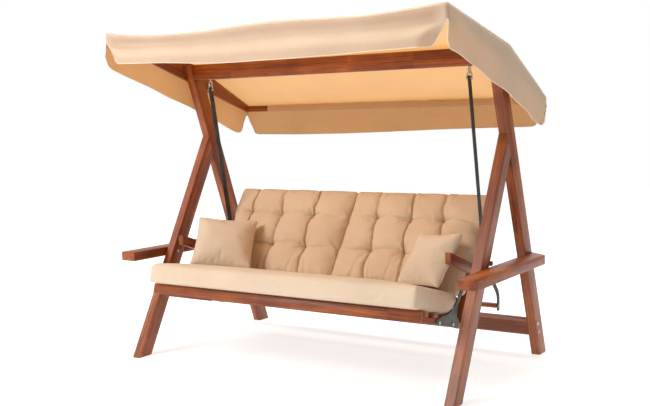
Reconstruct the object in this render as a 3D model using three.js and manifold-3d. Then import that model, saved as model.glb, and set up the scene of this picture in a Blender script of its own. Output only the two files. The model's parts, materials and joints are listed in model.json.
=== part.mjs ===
// Garden swing bench with a fabric canopy: two timber side frames joined by a top beam and a
// low stretcher, a padded bench hanging from the beam on two steel bars, and a backrest that
// folds back onto a support bar to make a bed.
// Millimetres. +X to the right of someone who faces the bench, +Y to the rear, +Z up.
// The origin is on the ground, under the middle of the whole piece.
import * as THREE from "three";
import { mergeVertices } from "three/addons/utils/BufferGeometryUtils.js";
import Module from "manifold-3d";

// ---------------------------------------------------------------- driving dimensions
const GAP = 0.3; // left between pieces that touch

// Side frames: a long post that leans forward and a front leg that butts against it
const FRAME_DEPTH = 1454; // the object's whole depth: canopy front to rear foot
const TIMBER_WIDTH = 54.7;
const POST_INNER_X = 1036.5;
const POST_OUTER_X = POST_INNER_X + TIMBER_WIDTH;
const POST_LEAN = THREE.MathUtils.degToRad(20.89);
const POST_SECTION = 107; // measured level, front to rear
const POST_TOP = 1830;
const LEG_LEAN = THREE.MathUtils.degToRad(28.34);
const LEG_SECTION = 111; // measured level, front to rear
const LEG_FOOT_Y = -634;

const ARMREST = { top: 653, thick: 54.5, outerX: 1201, front: -586, rearInner: 478, rearOuter: 394 };
const BEAM = { front: -45, rear: 15, bottom: 1733, top: POST_TOP };
const STRETCHER = { foot: 128, tall: 94, thick: 55 };

// Canopy
const ROOF_FRONT = [-727, 1992];
const ROOF_RIDGE = [54, 1843];
const ROOF_REAR = [639, 1570];
const CLOTH = 4;
const CANOPY_HALF_WIDTH = 1122.2;
const ARM_INNER_X = POST_OUTER_X + GAP;
const ARM_OUTER_X = ARM_INNER_X + 26;
const ARM_BELOW_ROOF = 8;
const ARM_UNDERSIDE = { front: 1945.5, rear: 1524.5 };
const ARM_INSET = { front: 12, rear: 14 }; // from the cloth's edges
const RAIL_THICK = 27;
const FRONT_RAIL_BACK = 23; // behind the front of the canopy arms
const CANOPY_RAILS = { front: [1912, 1943], ridge: [1790, 1828], rear: [1527, 1567] };
const FRONT_VALANCE_BOTTOM = 1776;
const REAR_VALANCE_BOTTOM = 1378;

// Hanging hardware
const HANG_X = 914.1;
const HANG_Y = -15;
const EYE = { ring: 15, wire: 4, centre: 1707, washer: 15, washerThick: 3 };
const SHACKLE = { bow: 14, wire: 4, pin: 1664, pinHalf: 22 };
const HANGER = { wide: 38, thick: 5, topHole: 4.6 };

// Seat, drawn level in its own frame and hung with its rear edge lower
const SEAT_TILT = THREE.MathUtils.degToRad(14.5);
const SEAT_ORIGIN = [-629, 423]; // lower front edge of the front rail
const SEAT_HALF = 905;
const RAIL = { wide: 35, tall: 32, length: 618 };
const FRONT_RAIL = { thick: 32, tall: 59 };
const SLAT = { count: 5, wide: 64, thick: 26, pitch: 120, first: 34 };
const REAR_RAIL = [530, 562];
const SEAT_CUSHION = { front: -63, rear: 515, bottom: 60, top: 177, half: 897, edge: 14 };
const BACK_PIVOT = [600, 16]; // in the seat's frame
const PIVOT_BOLT = { radius: 6, head: 10, headThick: 6 };

// Side hoops: steel plate cut to an arch, one foot on the seat rail
const HOOP = { wide: 30, thick: 6, innerX: 905.3 };
const HOOP_FOOT = { front: 190, rear: 468, tall: 51, corner: 12 };
// The foot sweeps up into the arch's front edge (seat frame, mm)
const HOOP_SWEEP = [
  [438, 100], [415, 136], [404, 124], [387, 102], [360, 83], [331, 68], [300, 57], [262, 49],
];
const HOOP_LINE = [[-245, 378], [-32, 591], [186, 629], [406, 397], [404, 298]];
const HOOP_RADII = [0, 70, 90, 90, 0];
const LOCK_AT = [182, 615]; // hanger, hoop and lock screw share this point
const LOCK = { screw: 5, collar: 8, collarEnd: 930, knob: 15, knobEnd: 962, lobes: 6 };

// Seat arms, bolted to the outside of the hoops
const SEAT_ARM = { innerX: 911.5, outerX: 945.5, front: -336, rear: 100, top: 744, tall: 61, fall: 0.334 };
const BED_BAR = { front: 377, rear: 427, bottom: 317, top: 338 };
const CLEAT = { from: -840, to: -485, front: 32.4, rear: 60, bottom: -10, top: 28 };

// Backrest, drawn upright in its own frame: z runs up the stiles, -y is the sitter's side
const BACK_LEAN = THREE.MathUtils.degToRad(36);
const STILE = { innerX: 826, outerX: 866, half: 18, top: 765 };
const BACK_RAILS = [[30, 80], [715, 765]];
const BACK_SLAT = { count: 5, wide: 70, half: 10, pitch: 330 };
const BACK_CUSHION = { face: -135, back: -18.3, lowFront: 124, lowBack: 171, top: 788, half: 864 };
const BACK_WING = { outer: 897, bottom: 407 }; // wider above the seat arms
const PILLOW = { size: 345, thick: 100, rim: 14, steps: 8 };

// ---------------------------------------------------------------- finishes
const finish = (color, roughness, metalness = 0) => () =>
  new THREE.MeshStandardMaterial({ color, roughness, metalness });
const wood = finish(0x8a4a30, 0.55);
const darkSteel = finish(0x4a4c4a, 0.5, 0.8);
const zincSteel = finish(0xb9bab8, 0.35, 0.9);
const blackPlastic = finish(0x1b1a1a, 0.5);
const canopyCloth = finish(0xd8b48c, 0.9);
const cushionCloth = finish(0xe2c9a6, 0.9);

// ---------------------------------------------------------------- solids
const wasm = await Module();
wasm.setup();

function toSolid(geometry) {
  const plain = geometry.clone();
  plain.deleteAttribute("normal");
  plain.deleteAttribute("uv");
  const merged = mergeVertices(plain, 1e-4);
  return new wasm.Manifold(
    new wasm.Mesh({
      numProp: 3,
      vertProperties: merged.attributes.position.array,
      triVerts: new Uint32Array(merged.index.array),
    }),
  );
}

function toGeometry(solid) {
  const mesh = solid.getMesh();
  const geometry = new THREE.BufferGeometry();
  geometry.setAttribute("position", new THREE.BufferAttribute(mesh.vertProperties, 3));
  geometry.setIndex(new THREE.BufferAttribute(mesh.triVerts, 1));
  geometry.computeVertexNormals();
  return geometry;
}

function joined(...geometries) {
  return toGeometry(geometries.map(toSolid).reduce((whole, piece) => whole.add(piece)));
}

function part(name, geometry, material, parent) {
  const mesh = new THREE.Mesh(geometry, material());
  mesh.name = name;
  parent.add(mesh);
  return mesh;
}

function block([x0, x1], [y0, y1], [z0, z1]) {
  const geometry = new THREE.BoxGeometry(x1 - x0, y1 - y0, z1 - z0);
  geometry.translate((x0 + x1) / 2, (y0 + y1) / 2, (z0 + z1) / 2);
  return geometry;
}

const outline = (points) => new THREE.Shape(points.map(([a, b]) => new THREE.Vector2(a, b)));

// An outline of [y, z] points, given thickness along X. Holes are [y, z, radius].
function plateX(shape, [x0, x1], holes = []) {
  for (const [y, z, radius] of holes) {
    const hole = new THREE.Path();
    hole.absarc(y, z, radius, 0, Math.PI * 2, true);
    shape.holes.push(hole);
  }
  const geometry = new THREE.ExtrudeGeometry(shape, {
    depth: x1 - x0,
    bevelEnabled: false,
    curveSegments: 8,
  });
  const axes = new THREE.Matrix4().makeBasis(
    new THREE.Vector3(0, 1, 0),
    new THREE.Vector3(0, 0, 1),
    new THREE.Vector3(1, 0, 0),
  );
  return geometry.applyMatrix4(axes).translate(x0, 0, 0);
}

// A round bar along X
function barX([x0, x1], y, z, radius, sides = 16) {
  const geometry = new THREE.CylinderGeometry(radius, radius, x1 - x0, sides);
  return geometry.rotateZ(Math.PI / 2).translate((x0 + x1) / 2, y, z);
}

// The points of a line whose inner corners are rounded to the given radii
function rounded(points, radii) {
  const out = [];
  points.forEach(([y, z], i) => {
    if (!radii[i]) {
      out.push(new THREE.Vector2(y, z));
      return;
    }
    const corner = new THREE.Vector2(y, z);
    const before = new THREE.Vector2(...points[i - 1]).sub(corner).normalize();
    const after = new THREE.Vector2(...points[i + 1]).sub(corner).normalize();
    const half = Math.acos(before.dot(after)) / 2;
    const middle = before.clone().add(after).normalize();
    const centre = corner.clone().addScaledVector(middle, radii[i] / Math.sin(half));
    const start = corner.clone().addScaledVector(before, radii[i] / Math.tan(half)).sub(centre);
    const turn = Math.PI - 2 * half;
    const way = Math.sign(start.cross(after));
    const steps = Math.ceil(turn / 0.16);
    for (let k = 0; k <= steps; k++) {
      out.push(start.clone().rotateAround(new THREE.Vector2(), (way * turn * k) / steps).add(centre));
    }
  });
  return out;
}

// A strip of constant width along a line of points, as a closed outline
function ribbon(points, wide) {
  const side = (sign) =>
    points.map((p, i) => {
      const a = points[Math.max(i - 1, 0)];
      const b = points[Math.min(i + 1, points.length - 1)];
      const along = b.clone().sub(a).normalize();
      return [p.x - (sign * along.y * wide) / 2, p.y + (sign * along.x * wide) / 2];
    });
  return outline([...side(-1), ...side(1).reverse()]);
}

// Names end in _left for the side at -X and _right for the side at +X
const SIDES = [["left", -1], ["right", 1]];
const span = (side, x0, x1) => (side > 0 ? [x0, x1] : [-x1, -x0]);

// ---------------------------------------------------------------- stand
const postFront = (z) => FRAME_DEPTH / 2 - POST_SECTION - z * Math.tan(POST_LEAN);

function makeSideFrames(stand) {
  const legFront = (z) => LEG_FOOT_Y + z * Math.tan(LEG_LEAN);
  const spread = Math.tan(POST_LEAN) + Math.tan(LEG_LEAN);
  const meetFront = (postFront(0) - GAP - legFront(0)) / spread;
  const meetRear = (postFront(0) - GAP - legFront(0) - LEG_SECTION) / spread;
  for (const [label, side] of SIDES) {
    const x = span(side, POST_INNER_X, POST_OUTER_X);
    const post = outline([
      [postFront(0), 0],
      [postFront(0) + POST_SECTION, 0],
      [postFront(POST_TOP) + POST_SECTION, POST_TOP],
      [postFront(POST_TOP), POST_TOP],
    ]);
    part(`post_${label}`, plateX(post, x), wood, stand);

    const leg = outline([
      [legFront(0), 0],
      [legFront(0) + LEG_SECTION, 0],
      [legFront(meetRear) + LEG_SECTION, meetRear],
      [legFront(meetFront), meetFront],
    ]);
    part(`front_leg_${label}`, plateX(leg, x), wood, stand);

    const rest = new THREE.ExtrudeGeometry(
      outline([
        [side * (POST_OUTER_X + GAP), ARMREST.front],
        [side * ARMREST.outerX, ARMREST.front],
        [side * ARMREST.outerX, ARMREST.rearOuter],
        [side * (POST_OUTER_X + GAP), ARMREST.rearInner],
      ]),
      { depth: ARMREST.thick, bevelEnabled: false },
    );
    rest.translate(0, 0, ARMREST.top - ARMREST.thick);
    part(`armrest_${label}`, rest, wood, stand);
  }
}

function makeCrossTimbers(stand) {
  const x = [-POST_INNER_X + GAP, POST_INNER_X - GAP];
  part("top_beam", block(x, [BEAM.front, BEAM.rear], [BEAM.bottom, BEAM.top]), wood, stand);

  // The stretcher's face is in line with the posts' front faces.
  const up = [-Math.sin(POST_LEAN), Math.cos(POST_LEAN)];
  const back = [Math.cos(POST_LEAN), Math.sin(POST_LEAN)];
  const corner = (along, across) => [
    postFront(STRETCHER.foot) + up[0] * along + back[0] * across,
    STRETCHER.foot + up[1] * along + back[1] * across,
  ];
  const shape = outline([
    corner(0, 0),
    corner(0, STRETCHER.thick),
    corner(STRETCHER.tall, STRETCHER.thick),
    corner(STRETCHER.tall, 0),
  ]);
  part("rear_stretcher", plateX(shape, x), wood, stand);
}

// Height of the canopy's outer surface above a point y
function roofHeight(y) {
  const [a, b] = y < ROOF_RIDGE[0] ? [ROOF_FRONT, ROOF_RIDGE] : [ROOF_RIDGE, ROOF_REAR];
  return a[1] + ((y - a[0]) * (b[1] - a[1])) / (b[0] - a[0]);
}

function makeCanopyFrame(stand) {
  const frontY = ROOF_FRONT[0] + ARM_INSET.front;
  const rearY = ROOF_REAR[0] - ARM_INSET.rear;
  const top = (y) => [y, roofHeight(y) - ARM_BELOW_ROOF];
  const arm = outline([
    [frontY, ARM_UNDERSIDE.front],
    [rearY, ARM_UNDERSIDE.rear],
    top(rearY),
    top(ROOF_RIDGE[0]),
    top(frontY),
  ]);
  for (const [label, side] of SIDES) {
    part(`canopy_arm_${label}`, plateX(arm.clone(), span(side, ARM_INNER_X, ARM_OUTER_X)), wood, stand);
  }
  const x = [-ARM_INNER_X + GAP, ARM_INNER_X - GAP];
  const starts = {
    front: frontY + FRONT_RAIL_BACK,
    ridge: ROOF_RIDGE[0] - 8,
    rear: rearY - RAIL_THICK,
  };
  for (const [label, y] of Object.entries(starts)) {
    const rail = block(x, [y, y + RAIL_THICK], CANOPY_RAILS[label]);
    part(`canopy_${label}_rail`, rail, wood, stand);
  }
}

function makeCanopyCloth(stand) {
  const x = [-CANOPY_HALF_WIDTH, CANOPY_HALF_WIDTH];
  const roofPanel = ([y0, z0], [y1, z1]) =>
    plateX(outline([[y0, z0 - CLOTH], [y1, z1 - CLOTH], [y1, z1], [y0, z0]]), x);
  const ridgeFront = [ROOF_RIDGE[0] - GAP, roofHeight(ROOF_RIDGE[0] - GAP)];
  part("canopy_roof_front", roofPanel(ROOF_FRONT, ridgeFront), canopyCloth, stand);
  part("canopy_roof_rear", roofPanel(ROOF_RIDGE, ROOF_REAR), canopyCloth, stand);

  const inset = CLOTH + GAP;
  const between = [x[0] + inset, x[1] - inset];
  const frontTop = ROOF_FRONT[1] - CLOTH - 1.2;
  const frontY = [ROOF_FRONT[0], ROOF_FRONT[0] + CLOTH];
  part("valance_front", block(between, frontY, [FRONT_VALANCE_BOTTOM, frontTop]), canopyCloth, stand);
  const rearTop = ROOF_REAR[1] - CLOTH - GAP;
  const rearY = [ROOF_REAR[0] - CLOTH, ROOF_REAR[0]];
  part("valance_rear", block(between, rearY, [REAR_VALANCE_BOTTOM, rearTop]), canopyCloth, stand);

  const under = (y) => [y, roofHeight(y) - inset];
  const sidePanel = outline([
    [ROOF_FRONT[0], FRONT_VALANCE_BOTTOM],
    [ROOF_REAR[0], REAR_VALANCE_BOTTOM],
    under(ROOF_REAR[0]),
    under(ROOF_RIDGE[0]),
    under(ROOF_FRONT[0]),
  ]);
  for (const [label, side] of SIDES) {
    const sides = span(side, CANOPY_HALF_WIDTH - CLOTH, CANOPY_HALF_WIDTH);
    part(`valance_${label}`, plateX(sidePanel.clone(), sides), canopyCloth, stand);
  }
}

function makeEyeBolts(stand) {
  for (const [label, side] of SIDES) {
    const ring = new THREE.TorusGeometry(EYE.ring, EYE.wire, 10, 24);
    ring.rotateY(Math.PI / 2).translate(0, 0, EYE.centre);
    const under = BEAM.bottom - GAP;
    const stemFoot = EYE.centre + EYE.ring;
    const stem = new THREE.CylinderGeometry(EYE.wire, EYE.wire, under - 1 - stemFoot, 12);
    stem.rotateX(Math.PI / 2).translate(0, 0, (under - 1 + stemFoot) / 2);
    const washer = new THREE.CylinderGeometry(EYE.washer, EYE.washer, EYE.washerThick, 20);
    washer.rotateX(Math.PI / 2).translate(0, 0, under - EYE.washerThick / 2);
    const eye = joined(ring, stem, washer);
    part(`eye_bolt_${label}`, eye.translate(side * HANG_X, HANG_Y, 0), zincSteel, stand);
  }
}

// ---------------------------------------------------------------- swing
// The shackle's bow lies in the eye's ring and turns there.
const SWING_Z = EYE.centre - EYE.ring + EYE.wire * 2 + GAP;

function makeShacklesAndHangers(swing) {
  const bowCentre = SWING_Z - SHACKLE.bow;
  const path = new THREE.CurvePath();
  const points = [new THREE.Vector3(-SHACKLE.bow, 0, SHACKLE.pin - 7)];
  for (let k = 0; k <= 10; k++) {
    const turn = Math.PI * (1 - k / 10);
    points.push(
      new THREE.Vector3(SHACKLE.bow * Math.cos(turn), 0, bowCentre + SHACKLE.bow * Math.sin(turn)),
    );
  }
  points.push(new THREE.Vector3(SHACKLE.bow, 0, SHACKLE.pin - 7));
  points.slice(1).forEach((p, i) => path.add(new THREE.LineCurve3(points[i], p)));
  const wire = new THREE.Shape();
  wire.absarc(0, 0, SHACKLE.wire, 0, Math.PI * 2);
  const bow = () =>
    new THREE.ExtrudeGeometry(wire, { extrudePath: path, steps: 48, curveSegments: 5 });
  const pin = () => barX([-SHACKLE.pinHalf, SHACKLE.pinHalf], 0, SHACKLE.pin, SHACKLE.wire, 12);

  const top = new THREE.Vector2(HANG_Y, SHACKLE.pin);
  const low = new THREE.Vector2(...LOCK_AT);
  const across = low.clone().sub(top).normalize().rotateAround(new THREE.Vector2(), Math.PI / 2);
  const heading = across.angle();
  const r = HANGER.wide / 2;
  const bar = () => {
    const shape = new THREE.Shape();
    shape.absarc(top.x, top.y, r, heading, heading + Math.PI, false);
    shape.absarc(low.x, low.y, r, heading + Math.PI, heading + 2 * Math.PI, false);
    return shape;
  };
  const holes = [[...top.toArray(), HANGER.topHole], [...LOCK_AT, LOCK.screw + 0.8]];
  for (const [label, side] of SIDES) {
    const shackle = joined(bow(), pin()).translate(side * HANG_X, HANG_Y, 0);
    part(`shackle_${label}`, shackle, zincSteel, swing);
    const x = span(side, HANG_X - HANGER.thick / 2, HANG_X + HANGER.thick / 2);
    part(`hanger_bar_${label}`, plateX(bar(), x, holes), darkSteel, swing);
  }
}

const seatToWorld = (u, w) => [
  SEAT_ORIGIN[0] + u * Math.cos(SEAT_TILT) + w * Math.sin(SEAT_TILT),
  SEAT_ORIGIN[1] - u * Math.sin(SEAT_TILT) + w * Math.cos(SEAT_TILT),
];

function makeSideHoops(swing) {
  const { front, rear, tall, corner } = HOOP_FOOT;
  const foot = outline(
    [[front + corner, 0], [rear, 0], [rear, tall - corner], [rear - corner, tall], [436, tall],
      ...HOOP_SWEEP, [front, 24], [front, corner]].map(([u, w]) => seatToWorld(u, w + 1)),
  );
  const line = rounded(HOOP_LINE, HOOP_RADII);
  for (const [label, side] of SIDES) {
    const x = span(side, HOOP.innerX, HOOP.innerX + HOOP.thick);
    const arch = toSolid(plateX(ribbon(line, HOOP.wide), x));
    const hole = toSolid(barX([x[0] - 1, x[1] + 1], ...LOCK_AT, LOCK.screw + 0.8));
    const whole = arch.add(toSolid(plateX(foot.clone(), x))).subtract(hole);
    part(`side_hoop_${label}`, toGeometry(whole), darkSteel, swing);
  }
}

function makeSeatFrame(swing) {
  const seat = new THREE.Group();
  seat.position.set(0, ...SEAT_ORIGIN);
  seat.rotation.x = -SEAT_TILT;
  swing.add(seat);

  const full = [-SEAT_HALF, SEAT_HALF];
  const behindFront = FRONT_RAIL.thick + GAP;
  part("seat_front_rail", block(full, [0, FRONT_RAIL.thick], [0, FRONT_RAIL.tall]), wood, seat);
  const inner = SEAT_HALF - RAIL.wide;
  const railShape = () =>
    outline([[behindFront, 0], [RAIL.length, 0], [RAIL.length, RAIL.tall], [behindFront, RAIL.tall]]);
  for (const [label, side] of SIDES) {
    const holes = [[...BACK_PIVOT, PIVOT_BOLT.radius + 0.5]];
    const x = span(side, inner, SEAT_HALF);
    part(`seat_side_rail_${label}`, plateX(railShape(), x, holes), wood, seat);

    // A bolt through the rail's end and the stile beside it: the backrest turns on it.
    const shank = span(side, STILE.innerX - 2, SEAT_HALF + GAP + 1);
    const headIn = span(side, STILE.innerX - GAP - PIVOT_BOLT.headThick, STILE.innerX - GAP);
    const headOut = span(side, SEAT_HALF + GAP, SEAT_HALF + GAP + PIVOT_BOLT.headThick);
    const bolt = joined(
      barX(shank, ...BACK_PIVOT, PIVOT_BOLT.radius),
      barX(headIn, ...BACK_PIVOT, PIVOT_BOLT.head, 6),
      barX(headOut, ...BACK_PIVOT, PIVOT_BOLT.head, 6),
    );
    part(`back_pivot_bolt_${label}`, bolt, zincSteel, seat);
  }
  const between = [-inner + GAP, inner - GAP];
  part("seat_rear_rail", block(between, REAR_RAIL, [0, RAIL.tall]), wood, seat);
  const joist = block([-18, 18], [behindFront, REAR_RAIL[0] - GAP], [0, RAIL.tall]);
  part("seat_centre_joist", joist, wood, seat);
  for (let k = 0; k < SLAT.count; k++) {
    const from = SLAT.first + k * SLAT.pitch;
    const heights = [RAIL.tall + GAP, RAIL.tall + GAP + SLAT.thick];
    part(`seat_slat_${k + 1}`, block(full, [from, from + SLAT.wide], heights), wood, seat);
  }
  const cleat = block([CLEAT.from, CLEAT.to], [CLEAT.front, CLEAT.rear], [CLEAT.bottom, CLEAT.top]);
  part("under_seat_cleat", cleat, wood, seat);

  const c = SEAT_CUSHION;
  const pad = outline([
    [c.front + c.edge, c.bottom], [c.rear - c.edge, c.bottom], [c.rear, c.bottom + c.edge],
    [c.rear, c.top - c.edge], [c.rear - c.edge, c.top], [c.front + c.edge, c.top],
    [c.front, c.top - c.edge], [c.front, c.bottom + c.edge],
  ]);
  part("seat_cushion", plateX(pad, [-c.half, c.half]), cushionCloth, seat);
}

function makeSeatArmsAndBedBar(swing) {
  const { front, rear, top, tall, fall } = SEAT_ARM;
  const drop = (rear - front) * fall;
  const arm = outline([[front, top - tall], [rear, top - tall - drop], [rear, top - drop], [front, top]]);
  for (const [label, side] of SIDES) {
    const x = span(side, SEAT_ARM.innerX, SEAT_ARM.outerX);
    part(`seat_arm_${label}`, plateX(arm.clone(), x), wood, swing);
  }
  const bar = block([-SEAT_HALF, SEAT_HALF], [BED_BAR.front, BED_BAR.rear], [BED_BAR.bottom, BED_BAR.top]);
  part("bed_support_bar", bar, wood, swing);
}

// A screw with a lobed knob: it passes through hanger and hoop and bears on the stile.
function makeLockKnobs(root) {
  const lobed = new THREE.Shape();
  const turns = LOCK.lobes * 6;
  for (let k = 0; k < turns; k++) {
    const angle = (2 * Math.PI * k) / turns;
    const r = LOCK.knob - 1.2 + 1.2 * Math.cos(LOCK.lobes * angle);
    lobed[k ? "lineTo" : "moveTo"](LOCK_AT[0] + r * Math.cos(angle), LOCK_AT[1] + r * Math.sin(angle));
  }
  for (const [label, side] of SIDES) {
    const collar = span(side, HANG_X + HANGER.thick / 2 + GAP, LOCK.collarEnd + 1);
    const knob = joined(
      barX(span(side, STILE.outerX + GAP, LOCK.collarEnd), ...LOCK_AT, LOCK.screw),
      barX(collar, ...LOCK_AT, LOCK.collar),
      plateX(lobed.clone(), span(side, LOCK.collarEnd, LOCK.knobEnd)),
    );
    part(`lock_knob_${label}`, knob, blackPlastic, root);
  }
}

// ---------------------------------------------------------------- backrest
function makeBackFrame(back) {
  const stile = () => {
    const shape = new THREE.Shape();
    shape.absarc(0, 0, STILE.half, Math.PI, 2 * Math.PI, false);
    shape.lineTo(STILE.half, STILE.top);
    shape.lineTo(-STILE.half, STILE.top);
    return shape;
  };
  for (const [label, side] of SIDES) {
    const x = span(side, STILE.innerX, STILE.outerX);
    const holes = [[0, 0, PIVOT_BOLT.radius + 0.5]];
    part(`backrest_stile_${label}`, plateX(stile(), x, holes), wood, back);
  }
  const between = [-STILE.innerX + GAP, STILE.innerX - GAP];
  const deep = [-STILE.half, STILE.half];
  part("backrest_bottom_rail", block(between, deep, BACK_RAILS[0]), wood, back);
  part("backrest_top_rail", block(between, deep, BACK_RAILS[1]), wood, back);
  const heights = [BACK_RAILS[0][1] + GAP, BACK_RAILS[1][0] - GAP];
  for (let k = 0; k < BACK_SLAT.count; k++) {
    const x = (k - (BACK_SLAT.count - 1) / 2) * BACK_SLAT.pitch;
    const wide = [x - BACK_SLAT.wide / 2, x + BACK_SLAT.wide / 2];
    part(`backrest_slat_${k + 1}`, block(wide, [-BACK_SLAT.half, BACK_SLAT.half], heights), wood, back);
  }
}

function makeBackCushions(back) {
  const { face, back: rear, lowFront, lowBack, top, half } = BACK_CUSHION;
  const edge = 30;
  const upper = [[rear, top - edge], [rear - edge, top], [face + edge, top], [face, top - edge]];
  const body = outline([[face, lowFront], [rear, lowBack], ...upper]);
  const wing = outline([[face, BACK_WING.bottom], [rear, BACK_WING.bottom], ...upper]);
  for (const [label, side] of SIDES) {
    const cushion = joined(
      plateX(body.clone(), span(side, 2, half)),
      plateX(wing.clone(), span(side, half - 1, BACK_WING.outer)),
    );
    part(`back_cushion_${label}`, cushion, cushionCloth, back);
  }
}

// A square throw pillow in the XZ plane, thick in the middle with a thin rim
function pillowGeometry() {
  const { size, thick, rim, steps } = PILLOW;
  const shape = new THREE.PlaneGeometry(size, size, steps, steps).rotateX(Math.PI / 2);
  const face = (sign) => {
    const g = shape.clone();
    const p = g.attributes.position;
    for (let i = 0; i < p.count; i++) {
      const a = 1 - Math.abs((2 * p.getX(i)) / size) ** 2.4;
      const b = 1 - Math.abs((2 * p.getZ(i)) / size) ** 2.4;
      p.setY(i, sign * (rim / 2 + (thick / 2 - rim / 2) * Math.sqrt(Math.max(a * b, 0))));
    }
    return g;
  };
  const positions = [];
  const n = steps + 1;
  for (const sign of [-1, 1]) {
    positions.push(...face(sign).attributes.position.array);
  }
  const index = [];
  const quad = (a, b, c, d) => index.push(a, c, b, a, d, c);
  const at = (side, i, j) => side * n * n + j * n + i;
  for (let i = 0; i < steps; i++) {
    for (let j = 0; j < steps; j++) {
      quad(at(0, i, j), at(0, i + 1, j), at(0, i + 1, j + 1), at(0, i, j + 1));
      quad(at(1, i, j), at(1, i, j + 1), at(1, i + 1, j + 1), at(1, i + 1, j));
    }
    quad(at(0, i + 1, 0), at(0, i, 0), at(1, i, 0), at(1, i + 1, 0));
    quad(at(0, i, steps), at(0, i + 1, steps), at(1, i + 1, steps), at(1, i, steps));
    quad(at(0, 0, i), at(0, 0, i + 1), at(1, 0, i + 1), at(1, 0, i));
    quad(at(0, steps, i + 1), at(0, steps, i), at(1, steps, i), at(1, steps, i + 1));
  }
  const geometry = new THREE.BufferGeometry();
  geometry.setAttribute("position", new THREE.BufferAttribute(new Float32Array(positions), 3));
  geometry.setIndex(index);
  return geometry;
}

// Throw pillows stand in the bench's corners, turned a little towards its middle.
const PILLOW_PLACES = {
  left: { at: [-680, -172, 676], turn: 33, lean: 44, roll: 6 },
  right: { at: [694, -82, 656], turn: -26, lean: 37, roll: -6 },
};

function makePillows(back) {
  back.updateWorldMatrix(true, false);
  const toBack = back.matrixWorld.clone().invert();
  for (const [label, { at, turn, lean, roll }] of Object.entries(PILLOW_PLACES)) {
    const pillow = part(`pillow_${label}`, pillowGeometry(), cushionCloth, back);
    const angles = [-lean, roll, turn].map(THREE.MathUtils.degToRad);
    pillow.applyMatrix4(
      new THREE.Matrix4()
        .makeRotationFromEuler(new THREE.Euler(...angles, "ZXY"))
        .setPosition(...at)
        .premultiply(toBack),
    );
  }
}

// ---------------------------------------------------------------- assembly
const bench = new THREE.Group();

const stand = new THREE.Group();
bench.add(stand);
makeSideFrames(stand);
makeCrossTimbers(stand);
makeCanopyFrame(stand);
makeCanopyCloth(stand);
makeEyeBolts(stand);

const swing = new THREE.Group();
bench.add(swing);
makeShacklesAndHangers(swing);
makeSideHoops(swing);
makeSeatFrame(swing);
makeSeatArmsAndBedBar(swing);
makeLockKnobs(swing);

const back = new THREE.Group();
back.position.set(0, ...seatToWorld(...BACK_PIVOT));
back.rotation.x = -BACK_LEAN;
swing.add(back);
makeBackFrame(back);
makeBackCushions(back);
makePillows(back);

export default bench;
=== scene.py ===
"""Garden swing bench with a fabric canopy: the visual model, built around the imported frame."""

import json
import math

import bmesh
import bpy
import numpy as np
from mathutils import Matrix, Vector


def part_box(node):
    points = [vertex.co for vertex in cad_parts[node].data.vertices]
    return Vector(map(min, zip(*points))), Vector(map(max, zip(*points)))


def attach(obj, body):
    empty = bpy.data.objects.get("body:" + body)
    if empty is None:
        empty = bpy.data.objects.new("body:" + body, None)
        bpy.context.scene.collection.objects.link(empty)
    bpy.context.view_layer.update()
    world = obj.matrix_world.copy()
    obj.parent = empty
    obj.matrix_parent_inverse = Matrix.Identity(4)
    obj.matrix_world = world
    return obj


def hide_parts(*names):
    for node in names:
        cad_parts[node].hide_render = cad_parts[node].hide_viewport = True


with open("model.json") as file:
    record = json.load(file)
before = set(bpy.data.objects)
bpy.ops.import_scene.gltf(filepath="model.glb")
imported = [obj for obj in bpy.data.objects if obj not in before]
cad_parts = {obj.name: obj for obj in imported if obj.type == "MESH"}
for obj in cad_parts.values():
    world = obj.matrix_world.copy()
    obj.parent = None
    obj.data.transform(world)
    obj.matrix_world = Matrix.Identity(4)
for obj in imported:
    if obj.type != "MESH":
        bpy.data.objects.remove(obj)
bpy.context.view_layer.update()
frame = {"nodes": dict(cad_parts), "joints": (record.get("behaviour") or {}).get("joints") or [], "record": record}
NODES = frame["nodes"]
PIVOT = Vector(next(j for j in frame["joints"] if j["name"] == "recline")["pos_m"])
SEAT_TILT = math.radians(14.5)
BACK_LEAN = math.radians(36)
SEAT = Matrix.Translation((0, -0.629, 0.423)) @ Matrix.Rotation(-SEAT_TILT, 4, "X")
BACK = Matrix.Translation(PIVOT) @ Matrix.Rotation(-BACK_LEAN, 4, "X")
ROOM = 0.29  # how bright the room is beside the white screen
SCREEN_WAY = (-0.54, 0.84, 0.0)  # the compass direction in which the screen stands
SIDES = (("left", -1), ("right", 1))  # the name and the sign of X of each side


# ------------------------------------------------------------------ camera and light
def make_camera():
    data = bpy.data.cameras.new("camera")
    data.lens = 51.228
    data.sensor_width = 36
    cam = bpy.data.objects.new("camera", data)
    bpy.context.scene.collection.objects.link(cam)
    turn = Matrix.Rotation(math.radians(32.7257), 4, "Z")
    tip = Matrix.Rotation(math.radians(90 - 4.8867), 4, "X")
    roll = Matrix.Rotation(math.radians(-1.0437), 4, "Z")
    cam.matrix_world = Matrix.Translation((3.0, -4.748, 1.43)) @ turn @ tip @ roll
    bpy.context.scene.camera = cam


def area_light(name, at, towards, size, watts, colour):
    data = bpy.data.lights.new(name, "AREA")
    data.shape = "RECTANGLE"
    data.size, data.size_y = size
    data.energy = watts
    data.color = colour
    lamp = bpy.data.objects.new(name, data)
    lamp.location = at
    lamp.rotation_euler = (Vector(towards) - Vector(at)).to_track_quat("-Z", "Y").to_euler()
    bpy.context.scene.collection.objects.link(lamp)


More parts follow.
